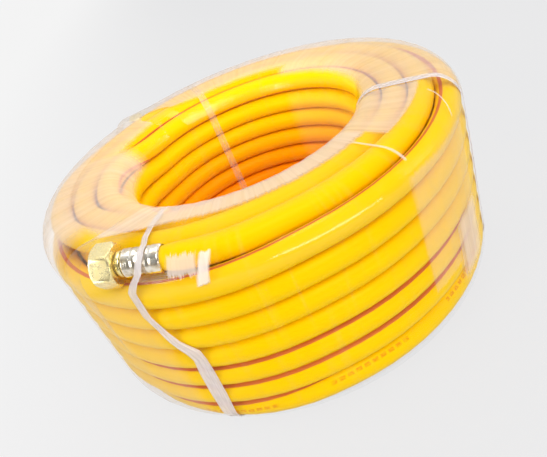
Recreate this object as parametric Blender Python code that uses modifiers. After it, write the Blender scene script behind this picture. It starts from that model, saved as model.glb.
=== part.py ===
"""Coiled air hose: a shipping coil of PVC hose with a crimped swivel fitting on each end,
three ribbon ties, and stretch film wound through the hole. Metres, +Z up, origin under the
middle of the coil, which lies on its side with its axis upright."""

from math import cos, hypot, pi, radians, sin, tau

import bmesh
import bpy
import numpy as np
from mathutils import Matrix, Vector

# ---- driving dimensions -------------------------------------------------------------------
HOSE_DIAMETER = 0.014        # outside
HOSE_BORE = 0.0085
HOLE_DIAMETER = 0.154        # of the coil, between the innermost turns
COIL_DIAMETER = 0.274        # over the outermost turns
COIL_HEIGHT = 0.1206
CORNER_RADIUS = 0.009        # of the path that the turns take round the coil's edges
TURNS_ROUND = 19             # turns on the skin: over the top, down the hole, below, up outside
STEPS = 24                   # points a turn
STEP = tau / STEPS
GAP = 0.0003                 # between pieces that touch

# The winding starts at the first fitting, on the top outer edge, and its turns go inwards over
# the top, down the wall of the hole, outwards underneath and up the outside.
START_ANGLE = radians(252)   # where the hose leaves the straight run from the first fitting
LAST_TURN = radians(210)     # from there round to the straight run to the second, past the full turns
START_PLACE = 0.0065         # of the first turn, inwards from the middle of the top outer edge
JOG_SHARE = 0.5              # of each turn's step sideways, made beside the first fitting
JOG_FROM, JOG_TO = radians(227), radians(277)
CLOSING = 0.0100             # by which the turns close over the slot between the two nuts
CLOSING_FROM, CLOSING_TO = radians(133), radians(225)
CLOSING_RISE, CLOSING_FALL = radians(42), radians(38)
SETTLING = 0.0055            # by which the last turn settles down the outside at the second fitting
SETTLING_FROM, SETTLING_TO = radians(20), radians(165)
SETTLING_RISE, SETTLING_FALL = radians(100), radians(35)

# Fittings, along their axis from the ferrule's mouth towards the nut.
STRAIGHT_RUN = 0.018         # of hose, from the ferrule's mouth to the first bend
SQUEEZE = 0.87               # of the hose's diameter, left inside the ferrule
FERRULE_LENGTH = 0.020
FERRULE_RADIUS = 0.0073
NUT_ACROSS_FLATS = 0.020
NUT_FROM, NUT_TO = 0.0232, 0.0342
NUT_TURN = radians(26)       # as the nut happens to be turned at rest
THREAD_RADIUS = 0.0075       # of the nut's bore, over the crests of its thread
GROOVE_FROM, GROOVE_TO = 0.0247, 0.0260  # for the retaining ring, in the tail and in the nut
SEAT_AT = 0.0288             # the tail's flat end, which the washer lies on
TUCK_A, TUCK_B = 1.2, -0.2   # how far each fitting's axis turns with the hose's last bend
TILT_A, TILT_B = 0.115, -0.025  # and how far it rises, to clear the turns beside it

RIBBON_WIDTH = 0.007
RIBBON_THICKNESS = 0.0004
TIE_ANGLES = (radians(239.7), radians(333.5), radians(99.5))
FILM_THICKNESS = 0.0004
FILM_STANDOFF = RIBBON_THICKNESS + 3 * GAP
FILM_WRAPS = 12
FILM_REACH = 0.018           # by which the film stays lifted past the ends of a fitting
FILM_SINK = 22               # a metre: how fast it sinks past the nut, times the distance squared
SHARP_ANGLE = radians(35)    # edges turning by less than this are shaded smooth

R = HOSE_DIAMETER / 2
NUT_RADIUS = NUT_ACROSS_FLATS / 2 / cos(pi / 6)  # over its corners
R_IN = HOLE_DIAMETER / 2 + R                     # middles of the innermost turns
R_OUT = COIL_DIAMETER / 2 - R
Z_LOW = FILM_STANDOFF + FILM_THICKNESS + R       # and of the lowest
Z_TOP = Z_LOW + COIL_HEIGHT - HOSE_DIAMETER
SIDES = ((-1, 0, R_OUT - R_IN), (0, -1, Z_TOP - Z_LOW), (1, 0, R_OUT - R_IN), (0, 1, Z_TOP - Z_LOW))
CORNER_ARC = CORNER_RADIUS * pi / 2
ROUND_PATH = sum(side[2] for side in SIDES) - 8 * CORNER_RADIUS + 4 * CORNER_ARC


# ---- scene helpers ------------------------------------------------------------------------
def clear_scene():
    for item in list(bpy.data.objects):
        bpy.data.objects.remove(item, do_unlink=True)


def make_collection(name, hidden=False):
    collection = bpy.data.collections.new(name)
    bpy.context.scene.collection.children.link(collection)
    collection.hide_render = hidden
    return collection


def make_material(name, colour, roughness, metallic=0.0, alpha=1.0):
    material = bpy.data.materials.new(name)
    material.use_nodes = True
    shader = material.node_tree.nodes["Principled BSDF"]
    shader.inputs["Base Color"].default_value = (*colour, 1.0)
    shader.inputs["Roughness"].default_value = roughness
    shader.inputs["Metallic"].default_value = metallic
    shader.inputs["Alpha"].default_value = alpha
    return material


def add_object(name, data, collection, material=None, parent=None):
    item = bpy.data.objects.new(name, data)
    collection.objects.link(item)
    if material:
        data.materials.append(material)
    if parent:
        item.parent = parent
    return item


def evaluated_copy(item):
    """The item's mesh as its modifiers leave it, with loose caps welded on."""
    bpy.context.view_layer.update()
    graph = bpy.context.evaluated_depsgraph_get()
    mesh = bpy.data.meshes.new_from_object(item.evaluated_get(graph))
    shape = bmesh.new()
    shape.from_mesh(mesh)
    bmesh.ops.remove_doubles(shape, verts=shape.verts, dist=1e-6)
    bmesh.ops.recalc_face_normals(shape, faces=shape.faces)
    shape.to_mesh(mesh)
    shape.free()
    return mesh


def shade_round(mesh):
    """Smooth shading, apart from the edges that turn sharply."""
    mesh.shade_smooth()
    mesh.set_sharp_from_angle(angle=SHARP_ANGLE)


def add_boolean(item, cutter, operation="DIFFERENCE"):
    modifier = item.modifiers.new(operation.lower(), "BOOLEAN")
    modifier.operation = operation
    modifier.solver = "EXACT"
    modifier.object = cutter
    return modifier


def hide_cutter(item):
    item.hide_render = True
    item.display_type = "WIRE"


def turned(name, profile, collection, material=None, parent=None, steps=STEPS):
    """An outline of (radius, height) points turned about the local Z axis.

    It runs down its outer side. One that starts and ends on the axis makes a solid, and any
    other is closed into a ring.
    """
    outline = bpy.data.meshes.new(f"{name}_outline")
    edges = [(i, i + 1) for i in range(len(profile) - 1)]
    if profile[0][0] > 0:
        edges.append((len(profile) - 1, 0))
    outline.from_pydata([(r, 0.0, z) for r, z in profile], edges, [])
    item = add_object(name, outline, collection, parent=parent)
    screw = item.modifiers.new("turned", "SCREW")
    screw.axis = "Z"
    screw.angle = tau
    screw.steps = screw.render_steps = steps
    screw.use_merge_vertices = True
    screw.merge_threshold = 1e-5
    item.data = evaluated_copy(item)
    item.modifiers.clear()
    shade_round(item.data)
    if material:
        item.data.materials.append(material)
    return item


# ---- the winding's route ------------------------------------------------------------------
def smooth_step(value):
    value = min(max(value, 0.0), 1.0)
    return value * value * (3 - 2 * value)


def section_path(s):
    """Radius and height at a distance along the rounded rectangle of turn middles.

    It starts at the middle of the top outer corner and goes inwards, down, outwards and up.
    """
    s = (s + CORNER_ARC / 2) % ROUND_PATH
    r, z = R_OUT, Z_TOP - CORNER_RADIUS
    for index, (dr, dz, length) in enumerate(SIDES):
        before_r, before_z = SIDES[index - 1][:2]
        turn = min(s, CORNER_ARC) / CORNER_RADIUS
        r += CORNER_RADIUS * (before_r * sin(turn) + dr * (1 - cos(turn)))
        z += CORNER_RADIUS * (before_z * sin(turn) + dz * (1 - cos(turn)))
        s = max(s - CORNER_ARC, 0.0)
        step = min(s, length - 2 * CORNER_RADIUS)
        r, z = r + dr * step, z + dz * step
        s -= step
        if s <= 0.0:
            break
    return r, z


def next_place(s, chord):
    """The place on the section path that is one chord, measured straight, past s."""
    r0, z0 = section_path(s)
    low, high = s + 0.99 * chord, s + 1.5 * chord
    for _ in range(24):
        middle = (low + high) / 2
        r1, z1 = section_path(middle)
        if (r1 - r0) ** 2 + (z1 - z0) ** 2 < chord * chord:
            low = middle
        else:
            high = middle
    return high


def equal_places(start, span, steps):
    """Places from a start to its end a span later, all one chord apart."""
    low, high = 0.9 * span / steps, span / steps
    for _ in range(20):
        chord = (low + high) / 2
        places = [start]
        for _ in range(steps):
            places.append(next_place(places[-1], chord))
        if places[-1] < start + span:
            low = chord
        else:
            high = chord
    return places


def sideways(angle):
    """Turns of sideways progress at an angle: a steady part, and a jog in every turn."""
    full, part = divmod(angle - JOG_FROM, tau)
    return (1 - JOG_SHARE) * angle / tau + JOG_SHARE * (full + smooth_step(part / (JOG_TO - JOG_FROM)))


def closing(angle):
    """How far the first turn has moved out over the empty slot between the two nuts."""
    angle %= tau
    rise = smooth_step((angle - CLOSING_FROM) / CLOSING_RISE)
    fall = smooth_step((CLOSING_TO - angle) / CLOSING_FALL)
    return CLOSING * min(rise, fall)


def settling(angle):
    """How far the last turn has settled down the outside, beside the second fitting."""
    angle %= tau
    rise = smooth_step((angle - SETTLING_FROM) / SETTLING_RISE)
    fall = smooth_step((SETTLING_TO - angle) / SETTLING_FALL)
    return SETTLING * min(rise, fall)


def places_at(angle, lead):
    """The places of all the turns at an angle, the first turn's first."""
    start = START_PLACE + lead * (sideways(angle) - sideways(START_ANGLE))
    places = equal_places(start, ROUND_PATH, TURNS_ROUND)
    opened, settled = closing(angle), settling(angle)
    if opened > 0 or settled > 0:
        last = TURNS_ROUND - (1 if angle - START_ANGLE < LAST_TURN + STEP / 2 else 2)
        end = places[last] - settled * last / (TURNS_ROUND - 1)
        places = equal_places(start - opened, end - start + opened, last)
    return places


def route_points():
    """The skin's one unbroken run of turns, a point every 15 degrees.

    At each angle the turns stand one chord apart all the way round the section. The first
    turn leads from its own start to the place of the second. Past the second fitting one turn
    fewer goes round, and there the turns stand a little further apart.
    """
    lead = equal_places(START_PLACE, ROUND_PATH, TURNS_ROUND)[1] - START_PLACE
    count = (TURNS_ROUND - 1) * STEPS + round(LAST_TURN / STEP) + 1
    angles = [START_ANGLE + STEP * i for i in range(STEPS)]
    columns = [places_at(angle, lead) for angle in angles]
    points = []
    for index in range(count):
        turn, spot = divmod(index, STEPS)
        r, z = section_path(columns[spot][turn])
        points.append(Vector((r * cos(angles[spot]), r * sin(angles[spot]), z)))
    return points


def end_run(points, tuck, tilt):
    """Ferrule mouth and axis of the fitting on the end where points[0] is."""
    last, before = (points[0] - points[1]).normalized(), (points[1] - points[2]).normalized()
    axis = (last + (last - before) * tuck + Vector((0, 0, tilt))).normalized()
    return points[0] + axis * STRAIGHT_RUN, axis


def fine_points(points):
    return np.array([tuple(a.lerp(b, k / 5)) for a, b in zip(points, points[1:]) for k in range(5)])


def least_gap(points):
    """Smallest free gap between the hose and itself, on points a fifth of a step apart."""
    cloud = fine_points(points)
    apart = 5 * STEPS // 2
    least = min(np.linalg.norm(cloud[i + apart:] - cloud[i], axis=1).min()
                for i in range(len(cloud) - apart))
    return float(least) - HOSE_DIAMETER


def gap_to_fitting(points, mouth, axis):
    """Smallest free gap between the turns and the circle that the nut's corners sweep."""
    cloud = fine_points(points)
    spots = [mouth + axis * (NUT_FROM + (NUT_TO - NUT_FROM) * k / 4) for k in range(5)]
    least = min(np.linalg.norm(cloud - np.array(tuple(spot)), axis=1).min() for spot in spots)
    return float(least) - R - NUT_RADIUS


# ---- hose ---------------------------------------------------------------------------------
def make_hose(points, ends, parts, cutters, material):
    """One unbroken tube through all the turns that show, squeezed and bored at both ends."""
    curve = bpy.data.curves.new("hose_curve", "CURVE")
    curve.dimensions = "3D"
    curve.bevel_depth = R
    curve.bevel_resolution = 1
    curve.use_fill_caps = True
    inside = FERRULE_LENGTH - 0.0012
    (mouth_a, axis_a), (mouth_b, axis_b) = ends
    head = [(mouth_a + axis_a * inside, SQUEEZE), (mouth_a + axis_a * 0.0005, SQUEEZE),
            (mouth_a - axis_a * 0.003, 1.0)]
    tail = [(mouth_b - axis_b * 0.003, 1.0), (mouth_b + axis_b * 0.0005, SQUEEZE),
            (mouth_b + axis_b * inside, SQUEEZE)]
    route = head + [(p, 1.0) for p in points] + tail
    spline = curve.splines.new("POLY")
    spline.points.add(len(route) - 1)
    for point, (place, size) in zip(spline.points, route):
        point.co = (*place, 1.0)
        point.radius = size
    tube = add_object("hose_tube", curve, cutters)
    hose = add_object("hose_winding", evaluated_copy(tube), parts, material)
    shade_round(hose.data)
    bpy.data.objects.remove(tube)
    for tag, (mouth, axis) in zip("ab", ends):
        bore = turned(f"bore_{tag}", [(0, 0.05), (HOSE_BORE / 2, 0.05), (HOSE_BORE / 2, -0.001),
                                      (0, -0.001)], cutters, steps=12)
        bore.matrix_world = axis_frame(mouth, axis)
        hide_cutter(bore)
        add_boolean(hose, bore)
    return hose


def make_core(parts, material):
    """The turns that never show, as one plain ring that fills the winding."""
    clear = R + 2 * GAP
    r0, r1 = R_IN + clear, R_OUT - clear
    z0, z1 = Z_LOW + clear, Z_TOP - clear
    cut = 0.004
    outline = [(r1 - cut, z1), (r1, z1 - cut), (r1, z0 + cut), (r1 - cut, z0),
               (r0 + cut, z0), (r0, z0 + cut), (r0, z1 - cut), (r0 + cut, z1)]
    core = turned("hose_core", outline, parts, material)
    core.rotation_euler.z = START_ANGLE
    return core


# ---- end fittings -------------------------------------------------------------------------
def axis_frame(place, axis):
    return Matrix.Translation(place) @ axis.to_track_quat("Z", "Y").to_matrix().to_4x4()


def make_ferrule(tag, axle, parts, material):
    """A sleeve pressed down in two bands, its far end turned in behind the tail's collar."""
    inner, lip = 0.0064, 0.0047
    crimp = FERRULE_RADIUS - 0.0006
    length = FERRULE_LENGTH
    outer = [(lip, length), (crimp, length), (FERRULE_RADIUS, length - 0.0012),
             (FERRULE_RADIUS, length - 0.0065), (crimp, length - 0.0080), (crimp, 0.0095),
             (FERRULE_RADIUS, 0.0080), (FERRULE_RADIUS, 0.0030), (crimp, 0.0018),
             (FERRULE_RADIUS, 0.0), (inner, 0.0), (inner, length - 0.0009), (lip, length - 0.0009)]
    return turned(f"ferrule_{tag}", outer, parts, material, axle)


def make_tail(tag, axle, parts, material):
    """Barbs inside the hose, a collar behind the ferrule, and a flat seat inside the nut."""
    bore = 0.0026
    barbs = []
    for k in range(4):
        top = FERRULE_LENGTH - 0.004 - 0.0036 * k
        barbs += [(0.0037, top), (0.0033, top - 0.0034)]
    outline = [(bore, SEAT_AT), (0.0046, SEAT_AT), (0.0050, SEAT_AT - 0.0006),
               (0.0050, GROOVE_TO + GAP), (0.0044, GROOVE_TO), (0.0044, GROOVE_FROM),
               (0.0050, GROOVE_FROM - GAP), (0.0050, 0.0228),
               (0.0066, 0.0226), (0.0066, FERRULE_LENGTH + GAP), (0.0043, FERRULE_LENGTH + GAP),
               (0.0043, FERRULE_LENGTH - 0.0008), (0.0034, FERRULE_LENGTH - 0.0010)]
    outline += barbs + [(bore, barbs[-1][1])]
    return turned(f"hose_tail_{tag}", outline, parts, material, axle)


def make_nut(tag, axle, parts, cutters, material):
    """A chamfered hexagon with a shouldered bore that turns on the tail."""
    flats = NUT_ACROSS_FLATS / 2
    corner = NUT_RADIUS
    length = NUT_TO - NUT_FROM
    middle = (NUT_FROM + NUT_TO) / 2
    mesh = bpy.data.meshes.new(f"swivel_nut_{tag}")
    shape = bmesh.new()
    place = Matrix.Translation((0, 0, middle)) @ Matrix.Rotation(NUT_TURN, 4, "Z")
    bmesh.ops.create_cone(shape, cap_ends=True, segments=6, radius1=corner, radius2=corner,
                          depth=length, matrix=place)
    shape.to_mesh(mesh)
    shape.free()
    nut = add_object(f"swivel_nut_{tag}", mesh, parts, material, axle)
    round_off = turned(f"nut_chamfer_{tag}", [
        (0, NUT_TO), (flats - 0.0002, NUT_TO), (corner + 0.0001, NUT_TO - 0.0011),
        (corner + 0.0001, NUT_FROM + 0.0011), (flats - 0.0002, NUT_FROM), (0, NUT_FROM)],
        cutters, parent=axle)
    bore = turned(f"nut_bore_{tag}", [
        (0, NUT_TO + 0.001), (THREAD_RADIUS + 0.0008, NUT_TO + 0.001),
        (THREAD_RADIUS, NUT_TO - 0.0008), (THREAD_RADIUS, GROOVE_TO + 0.0008),
        (0.0053, GROOVE_TO + 0.0006), (0.0053, GROOVE_TO + GAP), (0.0057, GROOVE_TO),
        (0.0057, GROOVE_FROM), (0.0053, GROOVE_FROM - GAP), (0.0053, NUT_FROM - 0.001),
        (0, NUT_FROM - 0.001)], cutters, parent=axle)
    for cutter in (round_off, bore):
        hide_cutter(cutter)
    add_boolean(nut, round_off, "INTERSECT")
    add_boolean(nut, bore)
    return nut


def make_fitting(tag, mouth, axis, parts, cutters, materials):
    axle = bpy.data.objects.new(f"fitting_axis_{tag}", None)
    parts.objects.link(axle)
    axle.matrix_world = axis_frame(mouth, axis)
    make_ferrule(tag, axle, parts, materials["ferrule"])
    make_tail(tag, axle, parts, materials["brass"])
    make_nut(tag, axle, parts, cutters, materials["brass"])
    middle = (GROOVE_FROM + GROOVE_TO) / 2
    wire = [(0.00505 + 0.00036 * cos(a), middle + 0.00036 * sin(a))
            for a in (pi / 2 - k * pi / 3 for k in range(6))]
    turned(f"retaining_ring_{tag}", wire, parts, materials["steel"], axle, steps=16)
    low, high = SEAT_AT + GAP, SEAT_AT + 0.0021
    washer = [(0.0034, high), (0.0070, high), (0.0070, low), (0.0034, low)]
    turned(f"seal_washer_{tag}", washer, parts, materials["rubber"], axle, steps=16)
    return axle


# ---- ribbon ties and film -----------------------------------------------------------------
def fitting_rounds(angle, shift, fittings, reach):
    """Where an upright plane meets the fittings: distance out, height, half width, half height.

    The plane faces along the coil's rim at an angle, moved sideways by a shift.
    """
    outward = Vector((cos(angle), sin(angle), 0))
    across = Vector((-sin(angle), cos(angle), 0))
    rounds = []
    for mouth, axis in fittings:
        slope = across.dot(axis)
        along = (shift - across.dot(mouth)) / slope
        place = mouth + axis * min(along, NUT_TO)
        if outward.dot(place) > 0 and -reach < along < NUT_TO + reach:
            size = NUT_RADIUS if along > NUT_FROM - 0.6 * reach else FERRULE_RADIUS
            size -= FILM_SINK * max(along - NUT_TO, 0.0) ** 2
            rounds.append((outward.dot(place), place.z, size / abs(slope), size))
    return rounds


def wrapped_outline(angle, shift, offset, fittings, reach, directions=24):
    """What a tight skin makes of the coil's section: the outermost point in each direction.

    In the hole the straight steps of the hose lie nearer to the coil's axis than its points do.
    """
    r_in = R_IN * cos(pi / STEPS)
    rounds = [(r, z, CORNER_RADIUS + R, CORNER_RADIUS + R)
              for r in (r_in + CORNER_RADIUS, R_OUT - CORNER_RADIUS)
              for z in (Z_LOW + CORNER_RADIUS, Z_TOP - CORNER_RADIUS)]
    rounds += fitting_rounds(angle, shift, fittings, reach)
    outline = []
    for k in range(directions):
        way = tau * (k + 0.5) / directions
        dr, dz = cos(way), sin(way)
        r, z, wide, high = max(rounds, key=lambda c: c[0] * dr + c[1] * dz + hypot(c[2] * dr, c[3] * dz))
        edge = hypot(wide * dr, high * dz)
        outline.append((r + (wide * wide / edge + offset) * dr / cos(pi / directions),
                        z + (high * high / edge + offset) * dz / cos(pi / directions)))
    return outline


def skin_piece(name, stations, thickness, offset, fittings, reach, parts, material):
    """A closed band round the coil's section, lofted between upright planes."""
    shape = bmesh.new()
    loops = []
    for angle, shift in stations:
        side = Vector((-sin(angle), cos(angle), 0)) * shift
        pair = []
        for grow in (offset, offset + thickness):
            ring = wrapped_outline(angle, shift, grow, fittings, reach)
            pair.append([shape.verts.new(Vector((r * cos(angle), r * sin(angle), z)) + side)
                         for r, z in ring])
        loops.append(pair)
    count = len(loops[0][0])
    for k in range(count):
        n = (k + 1) % count
        for (in0, out0), (in1, out1) in zip(loops, loops[1:]):
            shape.faces.new((out0[k], out0[n], out1[n], out1[k]))
            shape.faces.new((in0[n], in0[k], in1[k], in1[n]))
        for (inner, outer), flip in ((loops[0], False), (loops[-1], True)):
            face = (inner[k], inner[n], outer[n], outer[k])
            shape.faces.new(face if flip else face[::-1])
    bmesh.ops.recalc_face_normals(shape, faces=shape.faces)
    mesh = bpy.data.meshes.new(name)
    shape.to_mesh(mesh)
    shape.free()
    shade_round(mesh)
    return add_object(name, mesh, parts, material)


def make_ties(fittings, parts, material):
    for number, angle in enumerate(TIE_ANGLES, 1):
        stations = [(angle, -RIBBON_WIDTH / 2), (angle, RIBBON_WIDTH / 2)]
        skin_piece(f"ribbon_tie_{number}", stations, RIBBON_THICKNESS, GAP, fittings, 0.0,
                   parts, material)


def make_film(fittings, parts, material):
    """The film's turns through the hole, laid side by side."""
    span = tau / FILM_WRAPS
    trim = GAP / 2 / (R_IN - R)
    half_tie = RIBBON_WIDTH / 2 / R_OUT
    tie_edges = (-half_tie, 0.0, half_tie)
    for wrap in range(FILM_WRAPS):
        start = START_ANGLE + wrap * span
        near = fitting_rounds(start + span / 2, 0.0, fittings, 0.045)
        cuts = 8 if near else 2
        turns = [start + trim] + [start + span * k / cuts for k in range(1, cuts)]
        turns += [start + span - trim]
        over = [(tie + edge - start) % tau for tie in TIE_ANGLES for edge in tie_edges]
        turns += [start + turn for turn in over if trim < turn < span - trim]
        skin_piece(f"film_wrap_{wrap + 1:02d}", [(angle, 0.0) for angle in sorted(turns)],
                   FILM_THICKNESS, FILM_STANDOFF, fittings, FILM_REACH, parts, material)


# ---- build --------------------------------------------------------------------------------
def main():
    clear_scene()
    parts = make_collection("coiled_air_hose")
    cutters = make_collection("cutters", hidden=True)
    materials = {
        "hose": make_material("yellow_pvc", (0.95, 0.62, 0.0), 0.25),
        "brass": make_material("nickel_brass", (0.72, 0.62, 0.35), 0.3, 1.0),
        "ferrule": make_material("plated_steel", (0.70, 0.66, 0.58), 0.3, 1.0),
        "steel": make_material("spring_wire", (0.5, 0.5, 0.5), 0.35, 1.0),
        "rubber": make_material("black_rubber", (0.03, 0.03, 0.03), 0.7),
        "ribbon": make_material("white_ribbon", (0.80, 0.76, 0.74), 0.4),
        "film": make_material("clear_film", (0.95, 0.95, 0.95), 0.15, alpha=0.15),
    }
    points = route_points()
    fittings = [end_run(points, TUCK_A, TILT_A), end_run(points[::-1], TUCK_B, TILT_B)]
    make_hose(points, fittings, parts, cutters, materials["hose"])
    make_core(parts, materials["hose"])
    for tag, (mouth, axis) in zip("ab", fittings):
        make_fitting(tag, mouth, axis, parts, cutters, materials)
        print(f"fitting {tag}: mouth {[round(v, 5) for v in mouth]}, axis {[round(v, 5) for v in axis]}, "
              f"gap beside its nut {gap_to_fitting(points, mouth, axis) * 1000:.2f} mm")
    make_ties(fittings, parts, materials["ribbon"])
    make_film(fittings, parts, materials["film"])
    loops = len(points) / STEPS
    print(f"winding: {loops:.2f} turns, least gap to itself {least_gap(points) * 1000:.2f} mm")


main()
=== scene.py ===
"""Looks of the coiled air hose: the whole winding as one tube, its end fittings, the ribbon ties
and the stretch film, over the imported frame. Metres, in the frame's axes."""

from math import cos, pi, radians, sin, tau

import bmesh
import bpy
import numpy as np
from mathutils import Matrix, Vector


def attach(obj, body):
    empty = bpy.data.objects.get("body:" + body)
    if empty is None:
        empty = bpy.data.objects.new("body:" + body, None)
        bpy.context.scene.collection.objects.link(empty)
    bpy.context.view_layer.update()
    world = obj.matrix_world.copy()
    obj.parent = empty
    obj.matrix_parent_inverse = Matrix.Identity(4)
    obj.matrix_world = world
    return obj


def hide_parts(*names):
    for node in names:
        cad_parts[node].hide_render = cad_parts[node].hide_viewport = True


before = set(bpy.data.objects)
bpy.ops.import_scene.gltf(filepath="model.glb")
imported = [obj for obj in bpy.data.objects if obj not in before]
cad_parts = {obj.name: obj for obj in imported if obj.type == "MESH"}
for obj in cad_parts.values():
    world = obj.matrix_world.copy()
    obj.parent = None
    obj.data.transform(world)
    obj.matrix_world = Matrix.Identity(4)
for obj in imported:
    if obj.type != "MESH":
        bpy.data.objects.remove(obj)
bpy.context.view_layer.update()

# ---- sizes shared with the part -----------------------------------------------------------
HOSE_DIAMETER = 0.014
HOLE_DIAMETER = 0.154
COIL_DIAMETER = 0.274
COIL_HEIGHT = 0.1206
CORNER_RADIUS = 0.009
TURNS_ROUND = 19
STEPS = 24                   # of the part's route, which the fittings' places come from
STEP = tau / STEPS
START_ANGLE = radians(252)
LAST_TURN = radians(210)     # how far the last turn goes
START_PLACE = 0.0065         # of the first turn, inwards from the middle of the top outer corner
JOG_SHARE = 0.5              # of each turn's sideways progress, made in one jog at the front
JOG_FROM, JOG_TO = radians(227), radians(277)
CLOSING = 0.0100             # the first turn's move outwards, over the slot between the nuts
CLOSING_FROM, CLOSING_TO = radians(133), radians(225)
CLOSING_RISE, CLOSING_FALL = radians(42), radians(38)
SETTLING = 0.0055            # the last turn's move downwards, beside the second fitting
SETTLING_FROM, SETTLING_TO = radians(20), radians(165)
SETTLING_RISE, SETTLING_FALL = radians(100), radians(35)
STRAIGHT_RUN = 0.018         # from the route's end to the ferrule's mouth
FERRULE_LENGTH = 0.020
FERRULE_RADIUS = 0.0073
NUT_ACROSS_FLATS = 0.020
NUT_FROM, NUT_TO = 0.0232, 0.0342  # from the ferrule's mouth, as the groove and the seat
NUT_TURN = radians(26)       # of its corners round its axis
THREAD_RADIUS = 0.0075
GROOVE_FROM, GROOVE_TO = 0.0247, 0.0260
SEAT_AT = 0.0288
TUCK_A, TUCK_B = 1.2, -0.2   # how far each end keeps bending, in the route's last steps
TILT_A, TILT_B = 0.115, -0.025
TIE_ANGLES = (radians(239.7), radians(333.5), radians(99.5))
GAP = 0.0003                 # between pieces that lie on each other
UNDERSIDE = 0.0017           # height of the lowest turns' underside, over film and ribbons

R = HOSE_DIAMETER / 2
NUT_RADIUS = NUT_ACROSS_FLATS / 2 / cos(pi / 6)
R_IN = HOLE_DIAMETER / 2 + R
R_OUT = COIL_DIAMETER / 2 - R
Z_LOW = UNDERSIDE + R
Z_TOP = Z_LOW + COIL_HEIGHT - HOSE_DIAMETER
SIDES = ((-1, 0, R_OUT - R_IN), (0, -1, Z_TOP - Z_LOW),
         (1, 0, R_OUT - R_IN), (0, 1, Z_TOP - Z_LOW))
CORNER_ARC = CORNER_RADIUS * pi / 2
ROUND_PATH = sum(side[2] for side in SIDES) - 8 * CORNER_RADIUS + 4 * CORNER_ARC

# ---- sizes of the looks -------------------------------------------------------------------
FINE = 72                    # points a turn
TUBE_RADIUS = 0.00722        # the real turns press against each other
TUBE_SIDES = 20
LATHE_POINTS = 96            # round a turned piece
SHARP_EDGE = radians(35)     # between faces of a turned piece
HIDDEN_TURNS = 5             # climbed in each of the two columns inside the winding
JOIN = 4                     # the route's point where an end's bend meets it
LEAD = 0.0045                # straight hose before the ferrule's mouth
END_ROWS, END_SQUEEZE = 11, 0.0011  # rows of points that a ferrule narrows, and by how much
STRIPE_HALF = 8.5            # degrees of the hose's round, either side of the stripe's middle
# Where the stripe lies, in degrees forward of outward, at some of the turns.
STRIPE_TURNS = (0, 3, 9, 11.5, 12.2, 12.8, 13.3, 14.2, 14.7, 15.2, 16, 17, 17.6, 18, 18.6)
STRIPE_PLACES = (100, 80, 75, 84, 84, 62, 60, 64, 80, 92, 98, 97, 88, 96, 96)

# Each tie: millimetres along its turn from the hole's top, its shift sideways, width and bulge.
TIE_SHAPES = (
    ((0, 130, 166, 185, 202, 212, 219, 226, 233, 244,
      260, 265, 269, 278, 285, 292, 303, 316, 335, 348),
     (-9, 4, 5.5, 6.4, 7.3, 8, 6.5, 0, -3.3, -7.6,
      -7.2, -4.2, -0.8, 1.9, 0.8, -2.7, -5.6, -7.4, -10.7, -11),
     (6, 8, 8.5, 10, 9.5, 8, 9.5, 6.5, 5.4, 5.2,
      5, 4.6, 4.2, 3.8, 3.6, 3.6, 3.6, 3.8, 4.5, 6),
     (0, 0, 0, 0, 0.2, 0.6, 1.2, 0.8, 0.4, 0.2, 0.2, 0, 0, 0, 0, 0, 0, 0, 0, 0)),
    ((0, 150, 260, 279, 300, 325, 345), (3, 2, 2, 5, 6, 6, 6),
     (6, 6, 6, 5.5, 6.5, 5.5, 6), (0,) * 7),
    ((0, 345), (0, 0), (5.5, 5.5), (0, 0)),
)
TIE_POINTS = 400             # along a tie
TIE_LIFT = 0.0004            # of a tie over the hose
TIE_RIDGES = 0.0003          # height of the two ridges that the gathering raises

FILM_LIFT = 0.0007           # of the film over the hose
FILM_STATIONS, FILM_POINTS = 720, 97
FILM_FOLDS = 0.00018         # height of the standing folds
FOLD_COUNT = 24              # of the waves that they are made of
FILM_REACH = 0.018           # of the film's slope back to the coil past a nut
FILM_SINK = 22               # how steeply it bends down there
NUT_LEAN = 0.0015            # how far past the nut its tilted end still lifts the film
FILM_TURN = 339.5            # millimetres round the film's section
# Patches of haze in the film, and two patches of painted highlight (the rows at 249.4 and 253.9
# degrees) that stand in for the lamps' reflection in the film drawn taut beside the first ferrule:
# middle and half width in degrees, from and to in millimetres of the film's turn, strength,
# softness sideways and at the ends, lean in degrees a millimetre, and raggedness of the ends in
# millimetres.
HAZE_AND_PAINTED_GLARE = (
    (193, 44, 150, 262, 0.12, 2.0, 6.0, 0.0, 4.0),
    (122, 89, 257, 296, 0.47, 6.0, 4.0, 0.0, 4.0),
    (110, 70, 294, 318, 0.34, 8.0, 3.0, 0.0, 4.0),
    (190, 36, 292, 338, 0.40, 6.0, 4.0, 0.0, 4.0),
    (265, 42, 304, 343, 0.52, 3.0, 2.6, 0.0, 5.0),
    (320, 14, 290, 343, 0.42, 1.4, 1.2, 0.0, 2.0),
    (15, 40, 257, 325, 0.36, 3.0, 3.0, 0.0, 4.0),
    (310, 12, 190, 263, 0.18, 0.8, 1.5, 0.0, 5.0),
    (316, 6, 176, 215, 0.55, 2.5, 5.0, 0.0, 4.0),
    (300, 0.3, 271, 305, 0.50, 0.2, 1.0, 0.0, 0.0),
    (323.6, 0.3, 267, 284, 0.50, 0.2, 1.0, 0.43, 0.0),
    # Painted highlights: these two rows are white patches for the lamps' reflection in the film
    # drawn taut beside the first ferrule.
    (249.4, 3.2, 267, 277, 0.50, 0.5, 1.2, 0.0, 10.0),
    (253.9, 1.2, 261, 276, 0.74, 0.4, 0.7, 0.12, 4.0),
    (231, 5, 268, 300, 0.08, 1.5, 3.0, 0.0, 4.0),
    (22, 30, 343, 400, 0.06, 4.0, 4.0, 0.0, 30.0),
)

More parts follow.
